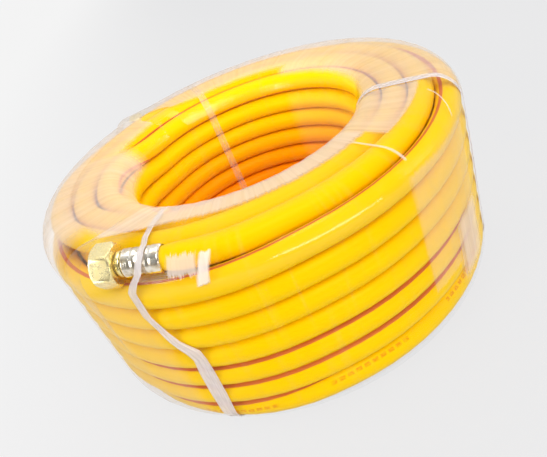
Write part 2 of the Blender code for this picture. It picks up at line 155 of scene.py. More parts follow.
# ---- the camera, as the photograph's ------------------------------------------------------
FRAME_WIDTH = 547            # pixels
FOCAL = 538.5                # pixels
ELEVATION, ROLL = radians(29.46), radians(-23.11)
DISTANCE = 2.752 * COIL_DIAMETER / 2
AIM_SIDE, AIM_UP = radians(0.76), radians(-2.85)

# ---- the studio ---------------------------------------------------------------------------
WORLD_LIGHT = 0.42           # of the sky, as light on the object
FLOOR_HALF = 30.0
# Each lamp: its name, its place, what it points at, its size and its watts.
LAMPS = (
    ("top", (0.1, 0.2, 1.1), (0, 0, 0.06), (0.8, 0.7), 3.2),
    ("key", (0.2, -0.72, 0.95), (0, 0, 0.06), (0.6, 0.5), 5.4),
    ("front", (0.20, -0.66, 0.13), (0, 0, 0.11), (0.56, 0.06), 0.6),
    ("left", (-0.9, -0.55, 0.5), (0, 0, 0.08), (0.3, 0.6), 3.0),
    ("right", (0.95, -0.35, 0.4), (0, 0, 0.08), (0.3, 0.5), 0.7),
    ("hole", (0.03, -0.02, 0.15), (-0.05, 0.06, 0.05), (0.08, 0.08), 0.07),
)


# ---- the winding's route ------------------------------------------------------------------
def section_path(s):
    """Radius, height and outward direction at distances along the rounded rectangle of turn
    middles, from the middle of the top outer corner inwards, down, outwards and up."""
    s = (s + CORNER_ARC / 2) % ROUND_PATH
    r, z, turned = R_OUT + 0 * s, Z_TOP - CORNER_RADIUS + 0 * s, 0 * s
    for index, (dr, dz, length) in enumerate(SIDES):
        before_r, before_z = SIDES[index - 1][:2]
        turn = np.clip(s / CORNER_RADIUS, 0, pi / 2)
        r += CORNER_RADIUS * (before_r * np.sin(turn) + dr * (1 - np.cos(turn)))
        z += CORNER_RADIUS * (before_z * np.sin(turn) + dz * (1 - np.cos(turn)))
        turned += turn
        s = s - CORNER_ARC
        step = np.clip(s, 0, length - 2 * CORNER_RADIUS)
        r, z = r + dr * step, z + dz * step
        s = s - (length - 2 * CORNER_RADIUS)
    return r, z, turned


def equal_places(start, span, steps):
    """Places from each start to its end a span later, all one chord apart. Rows are places."""
    low, high = 0.9 * span / steps, span / steps
    for _ in range(20):
        chord = (low + high) / 2
        places = [start]
        for _ in range(steps):
            places.append(next_place(places[-1], chord))
        short = places[-1] < start + span
        low, high = np.where(short, chord, low), np.where(short, high, chord)
    return np.array(places)


def next_place(s, chord):
    """The place on the section path that is one chord, measured straight, past s."""
    r0, z0, _ = section_path(s)
    low, high = s + 0.99 * chord, s + 1.5 * chord
    for _ in range(22):
        middle = (low + high) / 2
        r1, z1, _ = section_path(middle)
        near = (r1 - r0) ** 2 + (z1 - z0) ** 2 < chord * chord
        low, high = np.where(near, middle, low), np.where(near, high, middle)
    return high


def smooth(value):
    """A smooth step from 0 to 1: three times the square less twice the cube."""
    value = np.clip(value, 0.0, 1.0)
    return value * value * (3 - 2 * value)


def sideways(angle):
    """Turns of sideways progress at an angle: a steady part, and a jog in every turn."""
    full, part = np.divmod(angle - JOG_FROM, tau)
    jogged = full + smooth(part / (JOG_TO - JOG_FROM))
    return (1 - JOG_SHARE) * angle / tau + JOG_SHARE * jogged


def closing(angle):
    """How far the first turn has moved out over the empty slot between the two nuts."""
    angle = angle % tau
    rise = smooth((angle - CLOSING_FROM) / CLOSING_RISE)
    fall = smooth((CLOSING_TO - angle) / CLOSING_FALL)
    return CLOSING * np.minimum(rise, fall)


def settling(angle):
    """How far the last turn has settled down the outside, beside the second fitting."""
    angle = angle % tau
    rise = smooth((angle - SETTLING_FROM) / SETTLING_RISE)
    fall = smooth((SETTLING_TO - angle) / SETTLING_FALL)
    return SETTLING * np.minimum(rise, fall)


def places_round(angles):
    """The places of all the turns at each angle. Rows are turns."""
    first = np.array([START_PLACE])
    lead = equal_places(first, ROUND_PATH, TURNS_ROUND)[1, 0] - START_PLACE
    start = START_PLACE + lead * (sideways(angles) - sideways(START_ANGLE))
    places = equal_places(start, ROUND_PATH, TURNS_ROUND)
    opened, settled = closing(angles), settling(angles)
    moved = (opened > 0) | (settled > 0)
    full = angles - START_ANGLE < LAST_TURN + STEP / 2
    for last, there in ((TURNS_ROUND - 1, moved & full), (TURNS_ROUND - 2, moved & ~full)):
        end = places[last] - settled * last / (TURNS_ROUND - 1)
        spread = equal_places(start - opened, end - start + opened, last)
        places[:last + 1] = np.where(there, spread, places[:last + 1])
    return places


def skin_route():
    """Angle, radius, height, outward direction and turn number of the turns that show."""
    spots = START_ANGLE + tau * np.arange(FINE) / FINE
    places = places_round(spots)
    index = np.arange(round((TURNS_ROUND - 1 + LAST_TURN / tau) * FINE) + 1)
    turn, spot = np.divmod(index, FINE)
    r, z, outward = section_path(places[turn, spot])
    return START_ANGLE + tau * index / FINE, r, z, np.unwrap(outward), index / FINE


def whole_route():
    """The skin's route with the hidden turns let in under the bottom's middle: up one column
    inside the winding, over to the next and down again. Rows are radius, height and so on."""
    angle, r, z, outward, turn = skin_route()
    columns = R_IN + (R_OUT - R_IN) * np.array([1, 2]) / 3
    rise = (Z_TOP - Z_LOW) / (HIDDEN_TURNS + 2)
    middle = (R_IN + R_OUT) / 2
    below = np.where((z < Z_LOW + 1e-6) & (r >= middle))[0][0]
    ramp, cross, skip = FINE // 6, FINE * 5 // 6, FINE // 3
    climb = HIDDEN_TURNS * FINE + ramp // 2
    steps = np.arange(2 * ramp + 2 * climb + cross)
    up = np.clip((steps - ramp) / FINE, 0, HIDDEN_TURNS)
    down = np.clip((steps[-1] - ramp - steps) / FINE, 0, HIDDEN_TURNS)
    over = smooth((steps - ramp - climb) / cross)
    inner_r = columns[0] + (columns[1] - columns[0]) * over
    inner_z = Z_LOW + rise * (1 + np.minimum(up, down))
    leave = smooth(steps / ramp)
    back = smooth((steps[-1] - steps) / ramp)
    first = np.clip(below + steps, 0, below + skip)
    last = np.clip(below + skip - steps[-1] + steps, below, None)
    share = np.minimum(leave, back)
    near_start = steps < steps[-1] / 2
    outer_r = np.where(near_start, r[first], r[last])
    outer_z = np.where(near_start, z[first], z[last])
    hidden = (angle[below] + tau * steps / FINE, outer_r + (inner_r - outer_r) * share,
              outer_z + (inner_z - outer_z) * share, outward[below] + 0 * steps,
              turn[below] + 0 * steps)
    tail = slice(below + skip + 1, None)
    loops = round((hidden[0][-1] - angle[below + skip]) / tau)
    return [np.concatenate((part[:below], inside, part[tail] + extra)) for part, inside, extra in
            zip((angle, r, z, outward, turn), hidden, (tau * loops, 0, 0, 0, 0))]


def point_at(angle, r, z):
    """Points at an angle, a distance from the axis and a height."""
    return np.stack((r * np.cos(angle), r * np.sin(angle), z), -1)


def end_run(points, tuck, tilt):
    """Ferrule mouth and axis of the fitting on the end where points[0] is, as in the part."""
    first, second, third = (Vector(points[k * FINE // STEPS]) for k in range(3))
    last, before = (first - second).normalized(), (second - third).normalized()
    axis = (last + (last - before) * tuck + Vector((0, 0, tilt))).normalized()
    return first + axis * STRAIGHT_RUN, axis


# ---- meshes -------------------------------------------------------------------------------
def grid_mesh(name, points, uv, close_rows=False, close_columns=False, caps=False):
    """A mesh from a grid of points, with UVs for the corners from a grid one longer each way
    where it closes."""
    rows, columns = points.shape[:2]
    i, j = np.meshgrid(np.arange(rows - (not close_rows)), np.arange(columns - (not close_columns)),
                       indexing="ij")
    i1, j1 = i + 1, j + 1
    corners = np.stack([(a % rows) * columns + b % columns for a, b in
                        ((i, j), (i1, j), (i1, j1), (i, j1))], -1).reshape(-1, 4)
    mesh = bpy.data.meshes.new(name)
    faces = corners.tolist()
    if caps:
        faces += [list(range(columns))[::-1], list(range((rows - 1) * columns, rows * columns))]
    mesh.from_pydata(points.reshape(-1, 3).tolist(), [], faces)
    layer = mesh.uv_layers.new(name="UVMap")
    spots = np.stack([uv[a, b] for a, b in ((i, j), (i1, j), (i1, j1), (i, j1))], 2).reshape(-1, 2)
    if caps:
        spots = np.concatenate((spots, np.zeros((2 * columns, 2))))
    layer.data.foreach_set("uv", spots.ravel())
    mesh.shade_smooth()
    return mesh


def add_piece(name, mesh, material, body):
    """Makes a mesh a piece of the scene that rides on a body."""
    item = bpy.data.objects.new(name, mesh)
    bpy.context.scene.collection.objects.link(item)
    mesh.materials.append(material)
    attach(item, body)
    return item


def flip_if_inside_out(mesh):
    """Turns the faces round where the mesh's signed volume is negative."""
    shape = bmesh.new()
    shape.from_mesh(mesh)
    if shape.calc_volume(signed=True) < 0:
        bmesh.ops.reverse_faces(shape, faces=shape.faces)
    shape.to_mesh(mesh)
    shape.free()


def tube_mesh(name, points, outward, stripe, radius):
    """A round tube through the points. Its u is the share of the round from the stripe's middle,
    plus a half, and its v the distance along."""
    ahead = np.gradient(points, axis=0)
    ahead /= np.linalg.norm(ahead, axis=1, keepdims=True)
    across = points * (1, 1, 0)
    across -= ahead * (across * ahead).sum(1, keepdims=True)
    across /= np.linalg.norm(across, axis=1, keepdims=True)
    up = np.cross(across, ahead)
    share = np.arange(TUBE_SIDES + 1) / TUBE_SIDES
    angle = (outward + np.radians(stripe))[:, None] + tau * (share - 0.5)[None, :-1]
    ring = points[:, None] + radius[:, None, None] * (
        across[:, None] * np.cos(angle)[..., None] + up[:, None] * np.sin(angle)[..., None])
    along = np.concatenate(([0], np.cumsum(np.linalg.norm(np.diff(points, axis=0), axis=1))))
    uv = np.stack(np.broadcast_arrays(share[None, :], along[:, None]), -1)
    mesh = grid_mesh(name, ring, uv, close_columns=True, caps=True)
    flip_if_inside_out(mesh)
    return mesh, along[-1]


def lathe_mesh(name, rows):
    """A closed ring whose rows of (radius, height) run round the section. A radius can be a
    function of the angle."""
    around = LATHE_POINTS
    angle = tau * np.arange(around) / around
    radii = np.array([row[0](angle) if callable(row[0]) else row[0] + 0 * angle for row in rows])
    heights = np.array([row[1] for row in rows])[:, None] + 0 * radii
    points = np.stack((radii * np.cos(angle), radii * np.sin(angle), heights), -1)
    u, v = np.meshgrid(np.arange(len(rows) + 1), np.arange(around + 1) / around, indexing="ij")
    uv = np.stack((v, u / len(rows)), -1)
    mesh = grid_mesh(name, points, uv, close_rows=True, close_columns=True)
    flip_if_inside_out(mesh)
    mesh.set_sharp_from_angle(angle=SHARP_EDGE)
    return mesh


# ---- materials ----------------------------------------------------------------------------
class Value:
    """A number that varies over the surface: a socket, with arithmetic that adds Math nodes."""

    def __init__(self, look, socket):
        self.look, self.socket = look, socket

    def __add__(self, other):
        return self.look.math("ADD", self, other)

    def __sub__(self, other):
        return self.look.math("SUBTRACT", self, other)

    def __rsub__(self, other):
        return self.look.math("SUBTRACT", other, self)

    def __mul__(self, other):
        return self.look.math("MULTIPLY", self, other)

    __radd__, __rmul__ = __add__, __mul__

    def maximum(self, other):
        return self.look.math("MAXIMUM", self, other)

    def minimum(self, other):
        return self.look.math("MINIMUM", self, other)

    def size(self):
        return self.look.math("ABSOLUTE", self)

    def remainder(self, period):
        return self.look.math("FLOORED_MODULO", self, period)

    def wrapped(self, period):
        """The value's distance from the nearest multiple of a period, signed."""
        return (self + period / 2).remainder(period) - period / 2

    def ramp(self, low, high, out_low=0.0, out_high=1.0):
        """A smooth step from low to high, or down where low is the larger."""
        return self.look.node("MapRange", {"interpolation_type": "SMOOTHSTEP"}, {
            "Value": self, "From Min": low, "From Max": high,
            "To Min": out_low, "To Max": out_high})

    def between(self, low, high, soft):
        """A share that is 1 from low to high, and fades over a soft edge on both sides."""
        return self.ramp(low - soft, low + soft) * self.ramp(high + soft, high - soft)


class Look:
    """A node material under construction."""

    def __init__(self, name, tree=None):
        if tree is None:
            self.material = bpy.data.materials.new(name)
            self.material.use_nodes = True
            tree = self.material.node_tree
            self.shader = tree.nodes["Principled BSDF"]
            self.body = Value(self, self.shader.outputs[0])
        self.tree = tree

    def put(self, socket, value):
        """Links a value to a socket, or sets the socket to a number, a colour or a name."""
        if isinstance(value, Value):
            self.tree.links.new(value.socket, socket)
        elif isinstance(value, tuple) and len(value) < len(socket.default_value):
            socket.default_value = (*value, 1.0)
        else:
            socket.default_value = value

    def node(self, kind, settings=None, inputs=None, output=0):
        """Adds a node: its settings first, then the values or links of its sockets. Gives the
        value of its output, or of each of several."""
        made = self.tree.nodes.new("ShaderNode" + kind)
        for name, value in (settings or {}).items():
            setattr(made, name, value)
        for name, value in (inputs or {}).items():
            self.put(made.inputs[name], value)
        if isinstance(output, tuple):
            return [Value(self, made.outputs[one]) for one in output]
        return Value(self, made.outputs[output])

    def math(self, kind, *values):
        """One sum of the Math node on one or two values."""
        return self.node("Math", {"operation": kind}, dict(enumerate(values)))

    def set(self, **inputs):
        """Sets sockets of the principled shader, an underscore standing for a space."""
        for name, value in inputs.items():
            self.put(self.shader.inputs[name.replace("_", " ")], value)

    def show(self, shader):
        """Makes a shader the one that the surface has."""
        self.tree.links.new(shader.socket, self.tree.nodes["Material Output"].inputs["Surface"])
        return self.material

    def parts(self, vector):
        """The three numbers of a vector."""
        return self.node("SeparateXYZ", None, {0: vector}, (0, 1, 2))

    def uv(self):
        """The surface's own two coordinates."""
        return self.parts(self.node("UVMap", {"uv_map": "UVMap"}))[:2]

    def place(self):
        """The surface point in the frame's axes, as three values."""
        return self.parts(self.node("TexCoord", output="Object"))

    def vector(self, x, y, z=0.0):
        return self.node("CombineXYZ", None, {0: x, 1: y, 2: z})

    def noise(self, vector=None, scale=1.0, detail=2.0, rough=0.5):
        """Smooth noise from 0 to 1, on the frame's axes unless other coordinates are given."""
        vector = vector or self.node("TexCoord", output="Object")
        return self.node("TexNoise", None, {
            "Vector": vector, "Scale": scale, "Detail": detail, "Roughness": rough})

    def blend(self, share, first, second):
        """A colour between two, by a share."""
        return self.node("Mix", {"data_type": "RGBA"}, {0: share, 6: first, 7: second}, 2)

    def mix(self, share, first, second):
        """A shader between two, by a share."""
        return self.node("MixShader", None, {0: share, 1: first, 2: second})

    def bump(self, height, distance, strength=1.0):
        """The surface's direction as tilted by a height, whose 1 stands for a distance."""
        return self.node("Bump", None, {
            "Height": height, "Distance": distance, "Strength": strength})


def linear(r, g, b):
    """A colour given in screen values of 0 to 255, as linear light."""
    return tuple(((value / 255 + 0.055) / 1.055) ** 2.4 if value > 10 else value / 255 / 12.92
                 for value in (r, g, b))


def hose_look():
    """Glossy yellow PVC, painted warmer down in the hole as painted bounce light, where yellow
    walls light each other, with one red-brown stripe and a faint broken line beside it on the
    lowest turn."""
    look = Look("hose_pvc")
    u, v = look.uv()
    x, y, z = look.place()
    off = (u - 0.5) * 360
    out = look.math("SQRT", x * x + y * y)
    # Painted bounce light: deep in the hole the yellow is blended towards orange, standing in for
    # the light that the walls throw on each other.
    inside = out.ramp(0.0925, 0.084) * z.ramp(0.104, 0.035)
    waver = look.noise(look.vector(v * 9, 0.0), detail=1.0) - 0.5
    edge = (off + waver * 5).size()
    stripe = edge.ramp(STRIPE_HALF + 1.5, STRIPE_HALF - 1.0)
    depth = look.noise(look.vector(v * 40, u * 8), detail=2.0)
    body = look.blend(depth * 0.5, (1.0, 0.645, 0.0), (1.0, 0.600, 0.0))
    body = look.blend(inside, body, (1.0, 0.30, 0.0))
    line = look.blend(depth, (0.76, 0.21, 0.055), (0.58, 0.13, 0.032))
    worn = look.noise(look.vector(v * 420, off * 0.3)).ramp(0.4, 0.5)
    letters = (v * 210).remainder(1.0).ramp(0.72, 0.66) * worn
    words = (v * 13).remainder(1.0).ramp(0.62, 0.60)
    marks = letters * words * (off + 40).size().ramp(9.0, 7.5) * z.between(0.0, 0.026, 0.002) * 0.7
    colour = look.blend(stripe, look.blend(marks, body, (0.80, 0.22, 0.01)), line)
    look.set(Base_Color=colour, Roughness=depth.ramp(0.3, 0.7, 0.34, 0.42), Specular_IOR_Level=0.2,
             Specular_Tint=(1.0, 0.75, 0.15))
    return look.material


def metal_look(name, colour, dull, rough, grain):
    """Metal, a little duller in patches, with fine turning marks round its axis."""
    look = Look(name)
    u, v = look.uv()
    patches = look.noise(scale=260, detail=3.0)
    rings = look.noise(look.vector(u * 2, v * grain), detail=2.0)
    look.set(Base_Color=look.blend(patches.ramp(0.4, 0.7), colour, dull), Metallic=1.0,
             Roughness=patches.ramp(0.3, 0.8, rough, rough + 0.14),
             Normal=look.bump(rings, 0.00006))
    return look.material


def plain_look(name, colour, rough):
    """One colour, speckled a little darker, on a fine-grained surface."""
    look = Look(name)
    spots = look.noise(scale=420, detail=2.0)
    look.set(Base_Color=look.blend(spots, colour, tuple(c * 0.8 for c in colour)), Roughness=rough,
             Normal=look.bump(spots, 0.00004))
    return look.material


def ribbon_look(name, least, most):
    """Thin white ribbon, gathered lengthwise, that lets some light through between its pleats."""
    look = Look(name)
    u, v = look.uv()
    pleats = look.noise(look.vector(u * 7, v * 12), detail=3.0, rough=0.6)
    creases = look.noise(look.vector(u * 5, v * 160), detail=2.0)
    cover = (pleats + creases * 0.35).ramp(0.40, 0.85, most, least)
    look.set(Base_Color=look.blend(pleats, (0.95, 0.90, 0.89), (0.80, 0.71, 0.70)),
             Roughness=pleats.ramp(0.3, 0.7, 0.25, 0.45), Alpha=cover,
             Normal=look.bump(pleats, 0.0006, 0.7))
    return look.material


def film_look():
    """Clear film: what is behind it, a mirror share that grows at a slant and where the film is
    drawn tight over a corner, pale haze in the patches where its turns lie doubled, and two white
    patches of painted highlight beside the first ferrule. Degrees round the coil and millimetres
    along the film's turn place the patches."""
    look = Look("stretch_film")
    u, v = look.uv()
    around = u * tau
    azimuth = u * 360
    run = (v * 1000 - 150).remainder(FILM_TURN) + 150
    cosine, sine = look.math("COSINE", around), look.math("SINE", around)

    def streaks(across, along):
        """Noise drawn out along the film's turns."""
        place = look.vector(cosine * across, sine * across, v * along)
        return look.noise(place, detail=2.0, rough=0.6)

    fine, middling, broad = streaks(95, 7), streaks(30, 9), streaks(9, 16)
    normal = look.bump(fine * 0.5 + middling, 0.0006, 0.35)
    haze_and_painted_glare = middling.ramp(0.5, 0.8, 0.0, 0.03)
    # Each patch raises the pale cover, the haze and the two rows of painted highlight alike.
    for middle, half, low, high, share, side, end, lean, ragged in HAZE_AND_PAINTED_GLARE:
        slope = (run - (low + high) / 2) * lean
        off = (azimuth - middle - slope + (fine - 0.5) * (side + 0.5)).wrapped(360)
        here = off.size().ramp(half + side, half - side)
        here = here * (run + (fine - 0.5) * ragged).between(low, high, end)
        uneven = fine * 0.25 + middling * 0.4 + broad * 0.5 + 0.42
        haze_and_painted_glare = haze_and_painted_glare.maximum(here * (uneven * share))
    tight = run.between(258, 268, 4).maximum(run.between(332, 344, 4))
    slant = look.node("Fresnel", None, {"IOR": 1.5, "Normal": normal})
    mirror = ((slant - 0.05).maximum(0.0) * 0.42).minimum(0.11) + tight * 0.05
    look.set(Base_Color=(0.98, 0.88, 0.79), Roughness=0.45, Normal=normal, Specular_IOR_Level=0.3)
    gloss = look.node("BsdfGlossy", None, {"Roughness": 0.13, "Normal": normal})
    pane = look.mix(mirror, look.node("BsdfTransparent"), gloss)
    return look.show(look.mix(haze_and_painted_glare.minimum(0.93), pane, look.body))


# ---- pieces -------------------------------------------------------------------------------
def hose_path(fittings):
    """Middle points, outward direction and turn number from one ferrule's inside to the other's.
    Each end runs straight out of its ferrule, then in a cubic bend on to the route."""
    angle, r, z, outward, turn = whole_route()
    points = point_at(angle, r, z)
    ends = []
    for (mouth, axis), way in zip(fittings, (1, -1)):
        mouth, axis = np.array(mouth), np.array(axis)
        inside = np.arange(FERRULE_LENGTH - 0.0012, -LEAD, -0.0022)[:, None]
        start = mouth - axis * LEAD
        near, after = points[::way][JOIN:JOIN + 2]
        pull = 0.36 * np.linalg.norm(near - start)
        ahead = (after - near) / np.linalg.norm(after - near)
        t = np.linspace(0, 1, 14)[1:-1, None]
        bend = ((1 - t) ** 3 * start + 3 * (1 - t) ** 2 * t * (start - axis * pull)
                + 3 * (1 - t) * t * t * (near - ahead * pull) + t ** 3 * near)
        ends.append(np.concatenate((mouth + axis * inside, bend)))
    rows = slice(JOIN, -JOIN)
    pads = (len(ends[0]), len(ends[1]))
    return (np.concatenate((ends[0], points[rows], ends[1][::-1])),
            np.pad(outward[rows], pads, "edge"), np.pad(turn[rows], pads, "edge"))


def make_hose(fittings, rider):
    """The hose as one tube. Gives it, its middle points and its length."""
    points, outward, turn = hose_path(fittings)
    stripe = np.interp(turn, STRIPE_TURNS, STRIPE_PLACES)
    from_start = np.arange(len(points))
    from_end = np.minimum(from_start, from_start[::-1])
    radius = TUBE_RADIUS - END_SQUEEZE * smooth((END_ROWS - from_end) / 2)
    mesh, length = tube_mesh("hose", points, outward, stripe, radius)
    hose = add_piece("hose", mesh, hose_look(), rider)
    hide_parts("hose_winding", "hose_core")
    print(f"hose length {length:.2f} m")
    return hose, points, length


def hexagon(flats, corner):
    """A radius for each angle: the hexagon's, but no more than a corner radius."""
    def radius(angle):
        return np.minimum(flats / np.cos((angle - NUT_TURN + pi / 6) % (pi / 3) - pi / 6), corner)
    return radius


def nut_rows():
    """The nut's section: flats with chamfered ends, a threaded mouth, a shoulder and its bore."""
    flats, corner, pitch, depth = NUT_ACROSS_FLATS / 2, NUT_RADIUS, 0.00134, 0.0008
    rows = []
    for share in (0.0, 0.1, 0.25, 0.5, 0.75, 1.0):
        rows.append((hexagon(flats, flats - 0.0003 + (corner - flats + 0.0003) * share),
                     NUT_FROM + 0.0014 * share))
    rows += [(radius, NUT_FROM + NUT_TO - height) for radius, height in rows[::-1]]
    rows.append((THREAD_RADIUS + depth, NUT_TO))

    def thread(height):
        def radius(angle):
            turn = (height / pitch - angle / tau) % 1.0
            return THREAD_RADIUS + depth * (1 - 2 * np.abs(turn - 0.5))
        return radius
    rows += [(thread(height), height)
             for height in np.arange(NUT_TO - 0.0007, GROOVE_TO + 0.0010, -pitch / 6)]
    bore, groove = 0.0053, 0.0057
    rows += [(THREAD_RADIUS, GROOVE_TO + 0.0008), (bore, GROOVE_TO + 0.0006),
             (bore, GROOVE_TO + GAP), (groove, GROOVE_TO), (groove, GROOVE_FROM),
             (bore, GROOVE_FROM - GAP), (bore, NUT_FROM)]
    return rows


def ferrule_rows():
    """The ferrule's section: a rolled lip, three pressed bands, the middle one with dents, and a
    plain bore. Each band dips as a bell curve along the ferrule."""
    length, mouth, bore, lip = FERRULE_LENGTH, 0.0066, 0.0064, 0.0048

    def pressed(depth):
        def radius(angle):
            return FERRULE_RADIUS - depth - 0.00016 * (depth > 0.0003) * np.cos(8 * angle)
        return radius

    def dip(share, middle, half):
        return np.exp(-((share - middle) / half) ** 2)

    rows = [(mouth, 0.0)]
    for share in np.linspace(0, 1, 49):
        edge = min(share, 1 - share) / 0.05
        depth = 0.00075 * np.exp(-(abs(share - 0.5) / 0.09) ** 2)
        depth += 0.00022 * (dip(share, 0.27, 0.03) + dip(share, 0.74, 0.03))
        depth += 0.0006 * max(1 - edge, 0) ** 2
        rows.append((pressed(depth), length * (0.005 + 0.99 * share)))
    rows += [(lip, length), (lip, length - 0.0008), (bore, length - 0.0008), (bore, 0.0006)]
    return rows


def tail_rows():
    """The tail's collar, neck and seat, with its bore. Its barbs are inside the hose."""
    bore, neck, groove = 0.0026, 0.0050, 0.0044
    return [(bore, SEAT_AT), (0.0046, SEAT_AT), (neck, SEAT_AT - 0.0006), (neck, GROOVE_TO + GAP),
            (groove, GROOVE_TO), (groove, GROOVE_FROM), (neck, GROOVE_FROM - GAP), (neck, 0.0228),
            (0.0060, 0.0227), (0.0065, 0.0223), (0.0066, 0.0220), (0.0066, 0.0208),
            (0.0064, 0.0204), (0.0043, 0.0203), (0.0043, 0.0192), (0.0034, 0.0190),
            (0.0034, 0.0030), (bore, 0.0030)]


def wire_rows(radius, height, wire):
    """A ring of round wire: its section is a circle of twelve points."""
    return [(radius + wire * cos(tau * k / 12), height + wire * sin(tau * k / 12))
            for k in range(12)]


def washer_rows():
    """A flat washer on the tail's seat, with its outer edges broken."""
    low, high = SEAT_AT + GAP, SEAT_AT + 0.0021
    inner, outer, edge = 0.0034, 0.0070, 0.0002
    return [(inner, high), (outer - edge, high), (outer, high - edge), (outer, low + edge),
            (outer - edge, low), (inner, low)]


def make_fitting(tag, mouth, axis, looks):
    """The five pieces of an end fitting. Returns them, for the hose's own list."""
    place = Matrix.Translation(mouth) @ axis.to_track_quat("Z", "Y").to_matrix().to_4x4()
    made = []
    for kind, rows, look, slot, rider in (
            ("ferrule", ferrule_rows(), "ferrule", "ferrule", "coil"),
            ("hose_tail", tail_rows(), "brass", "brass", "coil"),
            ("swivel_nut", nut_rows(), "brass", "brass", f"nut_{tag}"),
            ("retaining_ring", wire_rows(0.00505, (GROOVE_FROM + GROOVE_TO) / 2, 0.00034),
             "steel", "spring_wire", "coil"),
            ("seal_washer", washer_rows(), "rubber", "washer", "coil")):
        mesh = lathe_mesh(f"{kind}_{tag}_piece", rows)
        mesh.transform(place)
        piece = add_piece(f"{kind}_{tag}_piece", mesh, looks[look], rider)
        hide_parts(f"{kind}_{tag}")
        made.append(piece)
    return made


def fitting_rounds(angle, fittings):
    """Where an upright plane through the coil's axis meets the fittings: distance out, height,
    half width and half height. They grow from the ferrule to the nut and fade past it."""
    outward = Vector((cos(angle), sin(angle), 0))
    across = Vector((-sin(angle), cos(angle), 0))
    rounds = []
    for mouth, axis in fittings:
        slope = across.dot(axis)
        along = -across.dot(mouth) / slope
        place = mouth + axis * min(along, NUT_TO + NUT_LEAN)
        past = max(along - NUT_TO - NUT_LEAN, 0.0)
        if outward.dot(place) > 0 and -STRAIGHT_RUN < along and past < FILM_REACH:
            grown = float(smooth((along - 0.010) / 0.0092))
            size = FERRULE_RADIUS + (NUT_RADIUS - FERRULE_RADIUS) * grown - FILM_SINK * past ** 2
            rounds.append((outward.dot(place), place.z, size / abs(slope), size))
    return rounds


def wrapped_outline(angle, offset, fittings, ways):
    """Radius and height of a tight skin round the coil's section, for each direction: the point
    that lies furthest that way, of the section's corner rounds and the fittings' ellipses."""
    corner = TUBE_RADIUS + CORNER_RADIUS
    inner, outer = R_IN + CORNER_RADIUS, R_OUT - CORNER_RADIUS
    low, high = Z_LOW + CORNER_RADIUS, Z_TOP - CORNER_RADIUS
    rounds = [(r, z, corner, corner) for r in (inner, outer) for z in (low, high)]
    rounds += fitting_rounds(angle, fittings)
    r, z, wide, tall = (np.array(column)[:, None] for column in zip(*rounds))
    dr, dz = np.cos(ways), np.sin(ways)
    edge = np.hypot(wide * dr, tall * dz)
    best = (r * dr + z * dz + edge).argmax(0)
    r, z, wide, tall = (column[best, 0] for column in (r, z, wide, tall))
    edge = edge[best, np.arange(len(ways))]
    return r + (wide ** 2 / edge + offset) * dr, z + (tall ** 2 / edge + offset) * dz


def even_outline(angle, offset, fittings, count):
    """The skin's outline as a count of points evenly spaced along it, from the hole's middle."""
    ways = pi + np.linspace(0, tau, 361)
    r, z = wrapped_outline(angle, offset, fittings, ways)
    along = np.concatenate(([0], np.cumsum(np.hypot(np.diff(r), np.diff(z)))))
    spots = np.linspace(0, along[-1], count)
    return np.interp(spots, along, r), np.interp(spots, along, z), spots


def away_from_middle(r, z):
    """Directions from the middle of the coil's section to its points."""
    out = np.stack((r - (R_IN + R_OUT) / 2, z - (Z_LOW + Z_TOP) / 2), -1)
    out /= np.linalg.norm(out, axis=-1, keepdims=True)
    return out[..., 0], out[..., 1]


def make_film(fittings, look, wraps):
    """A tight skin all round the coil's section, with fine standing folds: waves round the coil
    that lean along the film's turn, each lower the shorter it is."""
    rng = np.random.default_rng(5)
    angles = tau * np.arange(FILM_STATIONS) / FILM_STATIONS
    outlines = [even_outline(a, FILM_LIFT, fittings, FILM_POINTS) for a in angles]
    r, z, v = (np.array(part) for part in zip(*outlines))
    folds = 0 * r
    for _ in range(FOLD_COUNT):
        waves, lean, phase = rng.integers(30, 150), rng.normal(0, 25), rng.uniform(0, tau)
        wave = np.sin(waves * angles[:, None] + lean * v + phase)
        folds += wave / waves * rng.uniform(0.3, 1.0)
    folds *= FILM_FOLDS / np.abs(folds).max()
    out_r, out_z = away_from_middle(r, z)
    r, z = r + folds * out_r, z + folds * out_z
    points = point_at(angles[:, None], r, np.maximum(z, 0.0002))[:, :-1]
    u = np.arange(FILM_STATIONS + 1)[:, None] / FILM_STATIONS + 0 * v[:1]
    uv = np.stack((u, np.concatenate((v, v[:1]))), -1)
    mesh = grid_mesh("film", points, uv, close_rows=True, close_columns=True)
    piece = add_piece("film", mesh, look, "coil")
    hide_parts(*wraps)


def make_tie(number, angle, fittings, look):
    """A gathered ribbon round the section: a band whose middle is raised in two ridges. It wanders
    sideways, widens and bulges at its knot as its rows of TIE_SHAPES say."""
    r, z, v = even_outline(angle, TIE_LIFT, fittings, TIE_POINTS)
    spots, shift, width, bulge = (np.array(row) / 1000 for row in TIE_SHAPES[number - 1])
    shift, width, bulge = (np.interp(v, spots, row) for row in (shift, width, bulge))
    share = np.linspace(-1, 1, 13)[:, None]
    side = share * width / 2 + shift
    ridges = (1 + np.cos(share * 3 * pi)) * (1 + 0.4 * np.sin(v * 90)) / 2
    lift = (TIE_RIDGES + bulge) * ridges
    lift += 0.0002 * (1 - share ** 2) * np.sin(v * 700 + share * 4)
    out_r, out_z = away_from_middle(r, z)
    rr, zz = r + lift * out_r, np.maximum(z + lift * out_z, 0.0003)
    points = point_at(angle + side / np.maximum(r, 0.05), rr, zz)
    uv = np.stack(np.broadcast_arrays(share, v[None, :]), -1)
    mesh = grid_mesh(f"tie_{number}", points[:, :-1], uv, close_columns=True)
    piece = add_piece(f"tie_{number}", mesh, look, "coil")
    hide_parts(f"ribbon_tie_{number}")


